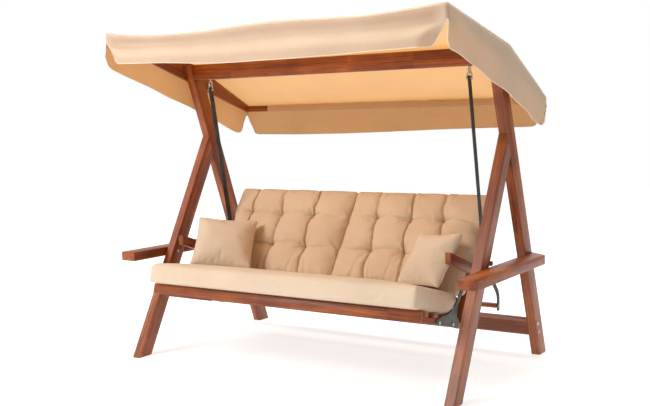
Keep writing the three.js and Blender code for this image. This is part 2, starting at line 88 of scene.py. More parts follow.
def make_studio():
    """A white screen behind the bench, a dimmer room round it, three soft lamps and a pale floor."""
    scene = bpy.context.scene
    scene.view_settings.view_transform = "Standard"
    scene.view_settings.look = "None"
    world = bpy.data.worlds.new("studio")
    scene.world = world
    world.use_nodes = True
    world.node_tree.nodes.clear()
    nodes = Nodes(world.node_tree)
    way = nodes.add("TexCoord").outputs["Generated"]
    screen = nodes.remap(nodes.dot(way, SCREEN_WAY), 0.70, 0.88, ROOM, 1.0)
    warm = nodes.mix(nodes.remap(screen, ROOM, 1.0, 0.0, 1.0), (1.0, 0.93, 0.84), (1.0, 1.0, 1.0))
    back = nodes.add("Background", {"Color": warm, "Strength": screen})
    out = nodes.add("OutputWorld")
    link(nodes, back.outputs[0], out.inputs["Surface"])

    area_light("key", (-3.0, -5.2, 4.2), (0, 0, 0.9), (3.0, 2.4), 350, (1.0, 0.97, 0.95))
    area_light("fill", (3.3, -1.3, 3.6), (1.1, 0, 1.7), (2.0, 2.0), 15.0, (1.0, 0.73, 0.47))
    area_light("sky", (0.2, 0.3, 5.0), (0, 0, 0), (4.5, 4.0), 270, (1.0, 0.98, 0.95))

    mesh = bpy.data.meshes.new("floor")
    mesh.from_pydata([(-14, -14, 0), (14, -14, 0), (14, 14, 0), (-14, 14, 0)], [], [(0, 1, 2, 3)])
    floor = bpy.data.objects.new("floor", mesh)
    scene.collection.objects.link(floor)
    mat, nodes, shader = new_material("floor")
    shader.inputs["Base Color"].default_value = (0.55, 0.55, 0.55, 1)
    shader.inputs["Roughness"].default_value = 0.9
    shader.inputs["Emission Color"].default_value = (1, 1, 1, 1)
    # the floor glows: more with distance from the bench, and less in front of it than behind
    place = nodes.add("TexCoord").outputs["Object"]
    away = nodes.add("VectorMath", {0: place}, operation="LENGTH").outputs["Value"]
    glow = nodes.remap(away, 1.6, 5.5, 0.68, 0.88)
    behind = nodes.remap(nodes.dot(place, SCREEN_WAY), -2.6, -0.9, 0.45, 1.0)
    link(nodes, nodes.math("MULTIPLY", glow, behind), shader.inputs["Emission Strength"])
    mesh.materials.append(mat)


# ------------------------------------------------------------------ material helpers
class Nodes:
    """Adds nodes to one material, with values or links given by input name."""

    def __init__(self, tree):
        self.tree = tree

    def add(self, kind, inputs=None, **settings):
        node = self.tree.nodes.new("ShaderNode" + kind)
        for key, value in settings.items():
            setattr(node, key, value)
        for key, value in (inputs or {}).items():
            socket = node.inputs[key]
            if isinstance(value, bpy.types.NodeSocket):
                self.tree.links.new(value, socket)
            else:
                socket.default_value = value
        return node

    def ramp(self, fac, stops):
        node = self.add("ValToRGB", {"Fac": fac})
        while len(node.color_ramp.elements) < len(stops):
            node.color_ramp.elements.new(0.5)
        for element, (at, colour) in zip(node.color_ramp.elements, stops):
            element.position = at
            element.color = (*colour, 1)
        return node.outputs["Color"]

    def remap(self, value, low, high, to_low, to_high):
        names = {"Value": value, "From Min": low, "From Max": high}
        names.update({"To Min": to_low, "To Max": to_high})
        return self.add("MapRange", names).outputs["Result"]

    def mix(self, fac, a, b, blend="MIX"):
        """A mix of two colours. The node's inputs 6 and 7 are its colours A and B."""
        node = self.add("Mix", data_type="RGBA", blend_type=blend)
        for index, value in ((0, fac), (6, a), (7, b)):
            if isinstance(value, bpy.types.NodeSocket):
                self.tree.links.new(value, node.inputs[index])
            elif index == 0:
                node.inputs[index].default_value = value
            else:
                node.inputs[index].default_value = (*value, 1)
        return node.outputs[2]

    def math(self, operation, a, b):
        return self.add("Math", {0: a, 1: b}, operation=operation).outputs[0]

    def dot(self, a, b):
        return self.add("VectorMath", {0: a, 1: b}, operation="DOT_PRODUCT").outputs["Value"]


def new_material(name):
    mat = bpy.data.materials.new(name)
    mat.use_nodes = True
    return mat, Nodes(mat.node_tree), mat.node_tree.nodes["Principled BSDF"]


def link(nodes, output, socket):
    nodes.tree.links.new(output, socket)


WOOD_TONES = [
    (0.0, (0.070, 0.010, 0.002)),
    (0.35, (0.180, 0.034, 0.005)),
    (0.65, (0.350, 0.084, 0.009)),
    (1.0, (0.700, 0.225, 0.036)),
]


def wood_material(name, along, seed):
    """Stained, oiled softwood with its grain along one direction of the board."""
    mat, nodes, shader = new_material(name)
    turn = along.rotation_difference(Vector((0, 0, 1))).to_euler()
    coord = nodes.add("TexCoord").outputs["Object"]
    shift = (0.37 * seed % 1.7 + 0.09, 0.61 * seed % 1.3 + 0.05, 1.7 * seed % 5.0)
    board = nodes.add("Mapping", {"Vector": coord, "Rotation": turn, "Location": shift})
    board = board.outputs["Vector"]
    stretched = nodes.add("Mapping", {"Vector": board, "Scale": (1, 1, 0.05)}).outputs["Vector"]
    fine = nodes.add("Mapping", {"Vector": board, "Scale": (1, 1, 0.02)}).outputs["Vector"]

    rings = nodes.add(
        "TexWave",
        {"Vector": stretched, "Scale": 22.0, "Distortion": 9.0, "Detail": 3.0, "Detail Scale": 1.6},
        wave_type="RINGS",
        rings_direction="Z",
    ).outputs["Fac"]
    cloud = nodes.add("TexNoise", {"Vector": stretched, "Scale": 26.0, "Detail": 5.0, "Roughness": 0.62})
    cloud = cloud.outputs["Fac"]
    blot = nodes.add("TexNoise", {"Vector": board, "Scale": 5.0, "Detail": 3.0}).outputs["Fac"]
    pores = nodes.add("TexNoise", {"Vector": fine, "Scale": 420.0, "Detail": 3.0, "Roughness": 0.6})
    pores = pores.outputs["Fac"]

    # finger-jointed staves: each length of timber has a tone of its own
    stave = nodes.add("Mapping", {"Vector": board, "Scale": (24, 24, 2.3)}).outputs["Vector"]
    snapped = nodes.add("VectorMath", {0: stave}, operation="FLOOR").outputs["Vector"]
    tone = nodes.add("TexWhiteNoise", {"Vector": snapped}).outputs["Value"]

    spots = nodes.add("Mapping", {"Vector": board, "Scale": (7, 7, 2.2)}).outputs["Vector"]
    spot = nodes.add("TexVoronoi", {"Vector": spots}).outputs["Distance"]
    knot = nodes.remap(spot, 0.03, 0.12, 0.75, 0.0)

    grain = nodes.math("MULTIPLY", rings, 0.15)
    grain = nodes.math("ADD", grain, nodes.remap(cloud, 0.25, 0.75, 0.0, 0.50))
    grain = nodes.math("ADD", grain, nodes.remap(blot, 0.3, 0.7, 0.0, 0.22))
    grain = nodes.math("ADD", grain, nodes.math("MULTIPLY", tone, 0.17))
    colour = nodes.ramp(grain, WOOD_TONES)
    dark_pores = nodes.remap(pores, 0.32, 0.50, 0.40, 0.0)
    colour = nodes.mix(dark_pores, colour, (0.045, 0.010, 0.006))
    colour = nodes.mix(knot, colour, (0.030, 0.008, 0.005))
    link(nodes, colour, shader.inputs["Base Color"])

    rough = nodes.remap(cloud, 0.3, 0.7, 0.34, 0.48)
    rough = nodes.math("ADD", rough, nodes.math("MULTIPLY", dark_pores, 0.3))
    link(nodes, rough, shader.inputs["Roughness"])
    height = nodes.math("MULTIPLY", rings, 0.25)
    height = nodes.math("ADD", height, nodes.math("MULTIPLY", pores, 0.75))
    bump = nodes.add("Bump", {"Height": height, "Strength": 0.28, "Distance": 0.0008})
    link(nodes, bump.outputs["Normal"], shader.inputs["Normal"])
    shader.inputs["Specular IOR Level"].default_value = 0.5
    shader.inputs["Coat Weight"].default_value = 0.08
    shader.inputs["Coat Roughness"].default_value = 0.42
    return mat


def steel_material(name, colour, dark, roughness, metallic):
    """Bare or plated steel with faint mottling, fine brush marks and duller patches."""
    mat, nodes, shader = new_material(name)
    coord = nodes.add("TexCoord").outputs["Object"]
    mottle = nodes.add("TexNoise", {"Vector": coord, "Scale": 14.0, "Detail": 5.0}).outputs["Fac"]
    grit = nodes.add("TexNoise", {"Vector": coord, "Scale": 900.0, "Detail": 2.0}).outputs["Fac"]
    link(nodes, nodes.ramp(mottle, [(0.35, dark), (0.65, colour)]), shader.inputs["Base Color"])
    rough = nodes.remap(mottle, 0.3, 0.7, roughness + 0.1, roughness - 0.06)
    link(nodes, nodes.math("ADD", rough, nodes.math("MULTIPLY", grit, 0.08)), shader.inputs["Roughness"])
    bump = nodes.add("Bump", {"Height": grit, "Strength": 0.12, "Distance": 0.0004})
    link(nodes, bump.outputs["Normal"], shader.inputs["Normal"])
    shader.inputs["Metallic"].default_value = metallic
    return mat


def plastic_material():
    mat, nodes, shader = new_material("knob_plastic")
    coord = nodes.add("TexCoord").outputs["Object"]
    grit = nodes.add("TexNoise", {"Vector": coord, "Scale": 700.0, "Detail": 3.0}).outputs["Fac"]
    worn = nodes.add("TexNoise", {"Vector": coord, "Scale": 60.0, "Detail": 4.0}).outputs["Fac"]
    tones = [(0.3, (0.010, 0.010, 0.011)), (0.75, (0.026, 0.025, 0.025))]
    link(nodes, nodes.ramp(worn, tones), shader.inputs["Base Color"])
    link(nodes, nodes.remap(worn, 0.3, 0.7, 0.38, 0.55), shader.inputs["Roughness"])
    bump = nodes.add("Bump", {"Height": grit, "Strength": 0.25, "Distance": 0.0004})
    link(nodes, bump.outputs["Normal"], shader.inputs["Normal"])
    return mat


def cloth_material(name, light, dark, thread, through=0.0, glow=(1, 1, 1), gloss=0.25):
    """Plain-woven cloth. thread is the pitch of the weave in metres; through is the share of light
    that comes from behind, and glow is what it is tinted with."""
    mat, nodes, shader = new_material(name)
    coord = nodes.add("TexCoord").outputs["Object"]
    count = 2 * math.pi / thread / 20
    weave = 0
    for axis in ("X", "Y", "Z"):
        rib = nodes.add(
            "TexWave",
            {"Vector": coord, "Scale": count, "Distortion": 1.2, "Detail": 2.0, "Detail Scale": 3.0},
            bands_direction=axis,
        ).outputs["Fac"]
        weave = nodes.math("ADD", rib, weave)
    slub = nodes.add("TexNoise", {"Vector": coord, "Scale": 160.0, "Detail": 4.0, "Roughness": 0.65})
    slub = slub.outputs["Fac"]
    patch = nodes.add("TexNoise", {"Vector": coord, "Scale": 3.5, "Detail": 4.0}).outputs["Fac"]
    fade = nodes.math("ADD", nodes.math("MULTIPLY", slub, 0.5), nodes.math("MULTIPLY", patch, 0.5))
    colour = nodes.ramp(fade, [(0.36, dark), (0.62, light)])
    # painted shade: the colour is darkened in the gaps of the weave, where shade falls between the threads
    weave_gap_shade = nodes.remap(weave, 0.2, 1.2, 0.18, 0.0)
    painted_gap_shade = tuple(0.55 * c for c in dark)
    colour = nodes.mix(weave_gap_shade, colour, painted_gap_shade)
    link(nodes, colour, shader.inputs["Base Color"])
    rough = nodes.remap(slub, 0.3, 0.7, 1.0 - 0.9 * gloss, 1.12 - 0.7 * gloss)
    link(nodes, rough, shader.inputs["Roughness"])
    height = nodes.math("ADD", nodes.math("MULTIPLY", weave, 0.3), slub)
    bump = nodes.add("Bump", {"Height": height, "Strength": 0.22, "Distance": 0.0007})
    link(nodes, bump.outputs["Normal"], shader.inputs["Normal"])
    shader.inputs["Specular IOR Level"].default_value = gloss
    shader.inputs["Sheen Weight"].default_value = 0.12
    shader.inputs["Sheen Roughness"].default_value = 0.5
    if through:
        behind = nodes.mix(1.0, colour, glow, "MULTIPLY")
        thin = nodes.add("BsdfTranslucent", {"Color": behind, "Normal": bump.outputs["Normal"]})
        both = nodes.add("MixShader", {"Fac": through})
        link(nodes, shader.outputs[0], both.inputs[1])
        link(nodes, thin.outputs[0], both.inputs[2])
        link(nodes, both.outputs[0], nodes.tree.nodes["Material Output"].inputs["Surface"])
    return mat


# ------------------------------------------------------------------ mesh helpers
def make_object(name, mesh, body, material, smooth=True):
    obj = bpy.data.objects.new(name, mesh)
    bpy.context.scene.collection.objects.link(obj)
    mesh.materials.append(material)
    if smooth:
        mesh.polygons.foreach_set("use_smooth", [True] * len(mesh.polygons))
    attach(obj, body)
    return obj


def grid_faces(at, rows, columns, flip=False):
    faces = []
    for j in range(rows - 1):
        for i in range(columns - 1):
            face = (at(i, j), at(i + 1, j), at(i + 1, j + 1), at(i, j + 1))
            faces.append(face[::-1] if flip else face)
    return faces


FINE_STEP = 0.0042


def grid_lines(low, high, step, fine=(), reach=0.0165):
    """Positions from low to high, step apart, and FINE_STEP apart within reach of the fine ones."""
    count = max(round((high - low) / step), 1)
    wide = [t for t in np.linspace(low, high, count + 1) if all(abs(t - f) > reach for f in fine)]
    each_way = int(reach / FINE_STEP)
    close = [f + k * FINE_STEP for f in fine for k in range(-each_way, each_way + 1)]
    return np.array(sorted(wide + [t for t in close if low < t < high]))


def box_points(*lines):
    """A closed box surface on three lists of grid positions, as (points, faces), facing outwards."""
    cells = [len(line) - 1 for line in lines]
    index, points, faces = {}, [], []

    def vertex(key):
        if key not in index:
            index[key] = len(points)
            points.append([line[k] for line, k in zip(lines, key)])
        return index[key]

    for axis in range(3):
        u, v = (axis + 1) % 3, (axis + 2) % 3
        for end in (0, cells[axis]):
            for i in range(cells[u]):
                for j in range(cells[v]):
                    corners = []
                    for a, b in ((0, 0), (1, 0), (1, 1), (0, 1)):
                        key = [0, 0, 0]
                        key[axis], key[u], key[v] = end, i + a, j + b
                        corners.append(vertex(tuple(key)))
                    faces.append(corners if end else corners[::-1])
    return np.array(points), faces


def even_box(low, high, step):
    return box_points(*(grid_lines(a, b, step) for a, b in zip(low, high)))


def round_box(points, low, high, radius):
    """Rounds the edges of points that lie on a box's surface."""
    low, high, radius = np.array(low), np.array(high), np.array(radius) * np.ones(3)
    core = np.clip(points, low + radius, high - radius)
    away = (points - core) / radius
    length = np.linalg.norm(away, axis=1, keepdims=True)
    return core + away / np.maximum(length, 1e-9) * radius


def mesh_from(name, points, faces):
    mesh = bpy.data.meshes.new(name)
    mesh.from_pydata([tuple(p) for p in points], [], faces)
    mesh.update()
    return mesh


def coordinates(mesh):
    out = np.empty(len(mesh.vertices) * 3, np.float32)
    mesh.vertices.foreach_get("co", out)
    return out.reshape(-1, 3).astype(float)


def set_coordinates(mesh, points):
    mesh.vertices.foreach_set("co", np.asarray(points, np.float32).ravel())
    mesh.update()


STIFFNESS = 15.0


def inflate(name, points, faces, pressure, frames, grow, held, cap, bend=0.5):
    """Runs a closed skin of cloth with air in it for some frames and returns its points.

    grow is how much the cloth stretches, held is how firmly each point is pinned, and no point
    moves further than cap.
    """
    mesh = mesh_from(name + "_cloth", points, faces)
    obj = bpy.data.objects.new(name + "_cloth", mesh)
    scene = bpy.context.scene
    scene.collection.objects.link(obj)
    cloth = obj.modifiers.new("cloth", "CLOTH")
    settings = cloth.settings
    settings.quality = 6
    settings.mass = 0.25
    settings.air_damping = 2.0
    settings.tension_stiffness = STIFFNESS
    settings.compression_stiffness = STIFFNESS
    settings.shear_stiffness = STIFFNESS / 3
    settings.bending_stiffness = bend
    settings.use_pressure = True
    settings.uniform_pressure_force = pressure
    settings.effector_weights.gravity = 0
    settings.shrink_min = -grow
    group = obj.vertex_groups.new(name="held")
    for weight in sorted(set(held[held > 0].tolist())):
        group.add(np.flatnonzero(held == weight).tolist(), weight, "REPLACE")
    settings.vertex_group_mass = "held"
    cloth.collision_settings.use_self_collision = False
    cloth.point_cache.frame_start = 1
    cloth.point_cache.frame_end = frames
    for number in range(1, frames + 1):
        scene.frame_set(number)
    got = obj.evaluated_get(bpy.context.evaluated_depsgraph_get())
    moved = coordinates(got.data)
    bpy.data.objects.remove(obj)
    bpy.data.meshes.remove(mesh)
    scene.frame_set(1)
    step = moved - points
    size = np.linalg.norm(step, axis=1, keepdims=True)
    return points + step * np.minimum(1, cap / np.maximum(size, 1e-9))


def subdivide(obj):
    """Smooths a piece's mesh by one subdivision, for good."""
    mod = obj.modifiers.new("smooth", "SUBSURF")
    mod.levels = mod.render_levels = 1
    got = obj.evaluated_get(bpy.context.evaluated_depsgraph_get())
    mesh = bpy.data.meshes.new_from_object(got)
    old = obj.data
    obj.modifiers.clear()
    obj.data = mesh
    mesh.name = old.name
    bpy.data.meshes.remove(old)


def loft(rings):
    """A closed skin over rings that each have the same number of points, as (points, faces)."""
    n = len(rings[0])
    last = (len(rings) - 1) * n
    faces = ring_faces(len(rings), n)
    faces += [tuple(range(n))[::-1], tuple(range(last, last + n))]
    return [point for ring in rings for point in ring], faces


def ring_faces(count, n):
    """The faces of a skin over count rings of n points each, open at both ends."""
    return [
        (j * n + k, j * n + (k + 1) % n, (j + 1) * n + (k + 1) % n, (j + 1) * n + k)
        for j in range(count - 1)
        for k in range(n)
    ]


def tube(points, radius, sides):
    """A round cord along points, as (points, faces)."""
    path = [Vector(p) for p in points]
    rings, side = [], None
    for i, p in enumerate(path):
        along = (path[min(i + 1, len(path) - 1)] - path[max(i - 1, 0)]).normalized()
        if side is None:
            side = along.orthogonal().normalized()
        side = (side - along * side.dot(along)).normalized()
        rings.append(ring_round(p, side, along.cross(side), radius, sides))
    return loft(rings)


def ring_round(centre, side, up, radius, sides):
    turns = [2 * math.pi * k / sides for k in range(sides)]
    return [centre + (side * math.cos(t) + up * math.sin(t)) * radius for t in turns]


def join_parts(name, parts):
    """One mesh from several (points, faces)."""
    points, faces = [], []
    for p, f in parts:
        start = len(points)
        points.extend(p)
        faces.extend(tuple(start + i for i in face) for face in f)
    return mesh_from(name, points, faces)


# ------------------------------------------------------------------ timber and metal
def board_direction(mesh):
    """The direction in which a board is longest, which its grain follows."""
    points = coordinates(mesh)
    spread = points - points.mean(axis=0)
    return Vector(np.linalg.svd(spread, full_matrices=False)[2][0].tolist())


def eased_copy(node, width):
    """The node's own solid with its sharp edges eased, as a mesh."""
    source = NODES[node]
    bm = bmesh.new()
    bm.from_mesh(source.data)
    bmesh.ops.remove_doubles(bm, verts=bm.verts, dist=1e-6)
    bmesh.ops.dissolve_limit(bm, angle_limit=0.01, verts=bm.verts, edges=bm.edges)
    sharp = [e for e in bm.edges if e.is_manifold and e.calc_face_angle(0) > 0.5]
    bmesh.ops.bevel(bm, geom=sharp, offset=width, segments=2, affect="EDGES", profile=0.5)
    bmesh.ops.triangulate(bm, faces=[f for f in bm.faces if len(f.verts) > 4])
    mesh = bpy.data.meshes.new(node + "_eased")
    bm.to_mesh(mesh)
    bm.free()
    return mesh


def shade_by_angle(mesh, degrees=32):
    mesh.polygons.foreach_set("use_smooth", [True] * len(mesh.polygons))
    mesh.set_sharp_from_angle(angle=math.radians(degrees))


def make_timber():
    bodies = frame["record"]["behaviour"]["bodies"]
    body_of = {node: body for body, members in bodies.items() for node in members}
    slots = {s["node"]: s["material_slot"] for s in frame["record"]["subparts"]}
    for seed, node in enumerate(sorted(n for n in NODES if slots[n] == "timber")):
        material = wood_material("wood_" + node, board_direction(NODES[node].data), seed + 1)
        mesh = eased_copy(node, 0.0028)
        piece = make_object("timber_" + node, mesh, body_of[node], material, smooth=False)
        shade_by_angle(mesh)
        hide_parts(node)


def make_metal():
    hoop = steel_material("hoop_steel", (0.090, 0.095, 0.085), (0.050, 0.053, 0.048), 0.45, 0.5)
    hanger = steel_material("hanger_steel", (0.060, 0.060, 0.060), (0.030, 0.030, 0.030), 0.38, 0.5)
    zinc = steel_material("zinc", (0.72, 0.71, 0.68), (0.55, 0.54, 0.52), 0.30, 0.95)
    knob = plastic_material()
    for node, obj in NODES.items():
        for key, material in (("side_hoop", hoop), ("hanger_bar", hanger), ("shackle", zinc),
                              ("eye_bolt", zinc), ("pivot_bolt", zinc), ("lock_knob", knob)):
            if key in node:
                obj.data.materials.clear()
                obj.data.materials.append(material)
                shade_by_angle(obj.data, 40)
    return zinc


# Profiles of a bolt head, as shares of its radius and height, each with its number of sides
WASHER = ([(1.7, 0), (1.7, 0.22), (1.58, 0.3), (0.9, 0.3)], 24)
HEXAGON = ([(1.08, 0.25), (1.08, 0.85), (0.9, 1)], 6)
DOME = ([(0.62, 0.95), (0.58, 1.12), (0.3, 1.25)], 16)
# Bolt heads on each side: node, whether they sit on its outer face, radius, height, and their y and z
FRAME_BOLTS = [
    ("post", True, 0.0065, 0.007, [(0.598, 0.150), (0.577, 0.205), (0.020, 1.645)]),
    ("canopy_arm", True, 0.0065, 0.007, [(-0.030, 1.772)]),
    ("front_leg", False, 0.0065, 0.006, [(-0.245, 0.626)]),
    ("post", False, 0.0065, 0.006, [(0.434, 0.626)]),
]
SEAT_BOLTS = [
    ("side_hoop", True, 0.0055, 0.0055, [(-0.405, 0.378), (-0.238, 0.338), (0.404, 0.3275)]),
    ("seat_arm", True, 0.0055, 0.0055, [(0.010, 0.590), (0.070, 0.590)]),
]


def bolt_head(centre, out, radius, height):
    """A washer with a domed hexagon head, facing out."""
    centre, out = Vector(centre), Vector(out)
    side = out.orthogonal().normalized()
    up = out.cross(side)
    return [
        loft([ring_round(centre + out * height * h, side, up, radius * r, sides) for r, h in profile])
        for profile, sides in (WASHER, HEXAGON, DOME)
    ]


def face_x(node, side, outer):
    """The X of a node's outer or inner face."""
    low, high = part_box(node)
    return side * (max if outer else min)(abs(low[0]), abs(high[0]))


def make_bolts(zinc):
    for name, body, bolts in (("frame_bolts", "stand", FRAME_BOLTS), ("seat_bolts", "seat", SEAT_BOLTS)):
        parts = []
        for label, side in SIDES:
            for node, outer, radius, height, places in bolts:
                x = face_x(node + "_" + label, side, outer)
                for y, z in places:
                    parts += bolt_head((x, y, z), (side if outer else -side, 0, 0), radius, height)
        mesh = join_parts(name, parts)
        make_object(name, mesh, body, zinc, smooth=False)
        shade_by_angle(mesh, 35)


# ------------------------------------------------------------------ canopy
HALF = 1.120  # half the width of the roof
FRONT_Y, RIDGE_Y, REAR_Y = -0.727, 0.054, 0.639
RIDGE_Z, REAR_Z = 1.8415, 1.5690
VALANCE_ROWS = 12
JOINED = 5  # rows of a valance sewn to the next one at each corner
ROOF_COLUMNS, FRONT_ROWS, REAR_ROWS = 112, 40, 30
# Front edge of the roof, hung between the side boards and a prop near the middle: x, z
FRONT_EDGE = [
    (-1.12, 1.9935), (-1.07, 1.990), (-0.925, 1.973), (-0.767, 1.962), (-0.575, 1.957), (-0.391, 1.958),
    (-0.109, 1.970), (0.156, 1.977), (0.406, 1.970), (0.700, 1.966), (0.975, 1.981), (1.054, 1.988),
    (1.12, 1.990),
]
# Lower hems, before their corners are rounded: x or y, z
FRONT_HEM = [
    (-1.08, 1.808), (-0.93, 1.803), (-0.69, 1.795), (-0.3, 1.775), (0.09, 1.773), (0.475, 1.776),
    (0.77, 1.782), (1.08, 1.786),
]
REAR_HEM = [(-1.08, 1.366), (-0.64, 1.362), (-0.24, 1.366), (0.14, 1.375), (0.50, 1.384), (1.08, 1.392)]
LEFT_HEM = [
    (-0.727, 1.800), (-0.66, 1.774), (-0.45, 1.706), (-0.225, 1.636), (0.062, 1.545), (0.27, 1.470),
    (0.50, 1.398), (0.62, 1.366),
]
RIGHT_HEM = [
    (-0.727, 1.776), (-0.677, 1.765), (-0.554, 1.741), (-0.35, 1.684), (-0.061, 1.601), (0.106, 1.547),
    (0.365, 1.463), (0.476, 1.428), (0.62, 1.385),
]


def smoothstep(a, b, x):
    """0 up to a, 1 from b on, and smooth between."""
    t = np.clip((x - a) / (b - a), 0, 1)
    return t * t * (3 - 2 * t)


def curve_at(points, x):
    """The smooth curve through points, read at x."""
    xs = [p[0] for p in points]
    k = int(np.clip(np.searchsorted(xs, x) - 1, 0, len(xs) - 2))
    (x0, y0), (x1, y1) = points[k], points[k + 1]
    before, after = points[max(k - 1, 0)], points[min(k + 2, len(xs) - 1)]
    width = x1 - x0
    m0 = (y1 - before[1]) / (x1 - before[0]) * width
    m1 = (after[1] - y0) / (after[0] - x0) * width
    t = np.clip((x - x0) / width, 0, 1)
    return (
        (2 * t**3 - 3 * t**2 + 1) * y0 + (t**3 - 2 * t**2 + t) * m0
        + (3 * t**2 - 2 * t**3) * y1 + (t**3 - t**2) * m1
    )


def roof_point(x, v):
    """A point of the roof cloth: v runs 0 to 1 from front edge to ridge, 1 to 2 down to the rear."""
    across = 1 - abs(x / HALF) ** 5
    if v < 1:
        y = FRONT_Y + (RIDGE_Y - FRONT_Y) * v
        z = curve_at(FRONT_EDGE, x) * (1 - v) + RIDGE_Z * v
        z -= 0.010 * across * math.sin(math.pi * v)
        z += 0.004 * across * math.sin(6 * x + 2 * v) * math.sin(math.pi * v)
    else:
        w = v - 1
        y = RIDGE_Y + (REAR_Y - RIDGE_Y) * w
        z = RIDGE_Z + (REAR_Z - RIDGE_Z) * w
        z -= 0.008 * across * math.sin(math.pi * w)
        z += 0.003 * across * math.sin(7 * x - 2 * w) * math.sin(math.pi * w)
        crumple = smoothstep(0.80, 1.0, w) * smoothstep(0.98, 1.12, x)
        z -= 0.004 * crumple * (1 + math.sin(90 * y))
    return np.array([x, y, z])


def rounded_drop(full, from_end, radius):
    """A hem's depth at a distance from its end, with the lower corner rounded off."""
    if from_end >= radius:
        return full
    return full - radius + math.sqrt(max(radius**2 - (radius - from_end) ** 2, 0))


def slit(t):
    """How open a corner is: shut where the valances are sewn together, then widening."""
    start = JOINED / VALANCE_ROWS
    return max(0.0, (t - start) / (1 - start)) ** 1.1


def front_place(top, t):
    """A point of the front valance: t runs 0 to 1 down from a roof point to the hem."""
    x = top[0]
    end = HALF - abs(x)
    narrow = (0.058 if x > 0 else 0.045) * slit(t)
    full = top[2] - curve_at(FRONT_HEM, x)
    drop = rounded_drop(full, end, 0.075 if x < 0 else 0.020)
    free = smoothstep(0, 0.10, end)
    near = math.exp(-end / 0.42) + 0.35 * math.exp(-(((x - 0.14) / 0.30) ** 2))
    lip = 0.012 * math.sin(math.pi * min(1, t / 0.20))
    gutter = (0.010 + 0.018 * near) * math.sin(math.pi * min(1, t / 0.58)) ** 2 - lip
    belly = 0.040 * smoothstep(0.32, 0.80, t) - 0.010 * smoothstep(0.80, 1.0, t)
    fold = 0.006 * math.sin(8 * x + 1.3 + 2 * t) + 0.003 * math.sin(19 * x - 3 * t)
    drag = 0.010 * math.exp(-(((t - 0.30 - 1.1 * end) / 0.16) ** 2)) * math.exp(-end / 0.30)
    y = FRONT_Y + free * (gutter - belly + fold * t + drag) - 0.003 * min(1, 6 * t)
    return np.array([x * (1 - narrow), y, top[2] - drop * t])


def rear_place(top, t):
    """A point of the rear valance, as front_place."""
    x = top[0]
    end = HALF - abs(x)
    full = top[2] - curve_at(REAR_HEM, x)
    drop = rounded_drop(full, end, 0.05)
    free = smoothstep(0, 0.10, end)
    fold = 0.007 * math.sin(6.5 * x + 0.4) + 0.003 * math.sin(17 * x)
    y = REAR_Y + 0.003 + free * (0.008 * math.sin(math.pi * t) + fold * t)
    return np.array([x * (1 - 0.042 * slit(t)), y, top[2] - drop * t])


def side_place(sign):
    """The function that places a side valance's points, as front_place, on the side of this sign."""
    hem = LEFT_HEM if sign < 0 else RIGHT_HEM

    def place(top, t):
        y = top[1]
        front, rear = y - FRONT_Y, REAR_Y - y
        full = top[2] - curve_at(hem, y)
        drop = rounded_drop(full, front, 0.035 if sign > 0 else 0.055)
        drop = min(drop, rounded_drop(full, rear, 0.085))
        free = smoothstep(0, 0.08, min(front, rear))
        fold = 0.006 * math.sin(8 * y + 0.7 * sign) + 0.004 * math.sin(19 * y + 2 * t)
        out = 0.004 * min(1, 6 * t) + free * (0.006 * math.sin(math.pi * t))
        crumple = smoothstep(0.16, 0.02, rear) * (0.008 if sign > 0 else 0.003)
        open_by = slit(t) * (-0.012 * smoothstep(0.3, 0, front) - 0.040 * smoothstep(0.5, 0, rear))
        y += open_by + crumple * 0.7 * math.sin(34 * t + 9 * rear)
        x = sign * (HALF + out) + free * fold * t + sign * crumple * 0.6 * math.sin(27 * t) * t
        return np.array([x, y, top[2] - drop * t])

    return place


def canopy_cloth():
    """The roof with its four valances as one cloth: its points, faces, the material slot of each face
    and the line of each hem. Slot 0 is for the front and right valances, 1 for the roof, and 2 for the
    valances that are seen from inside, whose darker, warmer copy of the same cloth is painted shade."""
    vs = [j / FRONT_ROWS for j in range(FRONT_ROWS)] + [1 + j / REAR_ROWS for j in range(REAR_ROWS + 1)]
    xs = np.linspace(-HALF, HALF, ROOF_COLUMNS + 1)
    points = [roof_point(x, v) for v in vs for x in xs]
    at = np.arange(len(points)).reshape(len(vs), len(xs)).tolist()
    faces = grid_faces(lambda i, j: at[j][i], len(vs), len(xs))
    slots, hems = [1] * len(faces), []

    def valance(tops, place, flip, slot, sewn=None):
        """Hangs rows of cloth from a line of roof points and returns its two end columns. sewn gives
        the columns of the cloth that its ends are stitched to."""
        rows = [tops]
        for k in range(1, VALANCE_ROWS + 1):
            row = []
            for n in range(len(tops)):
                if sewn and k <= JOINED and n in (0, len(tops) - 1):
                    row.append(sewn[0 if n == 0 else 1][k])
                    continue
                row.append(len(points))
                points.append(place(points[tops[n]], k / VALANCE_ROWS))
            rows.append(row)
        faces.extend(grid_faces(lambda i, j: rows[j][i], VALANCE_ROWS + 1, len(tops), flip))
        slots.extend([slot] * (len(faces) - len(slots)))
        down = [points[row[0]] for row in rows[JOINED:]]
        back_up = [points[row[-1]] for row in reversed(rows[JOINED:])]
        hems.append(down + [points[n] for n in rows[-1][1:-1]] + back_up)
        return [row[0] for row in rows], [row[-1] for row in rows]

    front = valance(at[0], front_place, True, 0)
    # slot 2 is the painted-shade copy of the cloth, for the rear and left valances
    rear = valance(at[-1], rear_place, False, 2)
    valance([row[0] for row in at], side_place(-1), False, 2, (front[0], rear[0]))
    valance([row[-1] for row in at], side_place(1), True, 0, (front[1], rear[1]))
    return points, faces, slots, hems


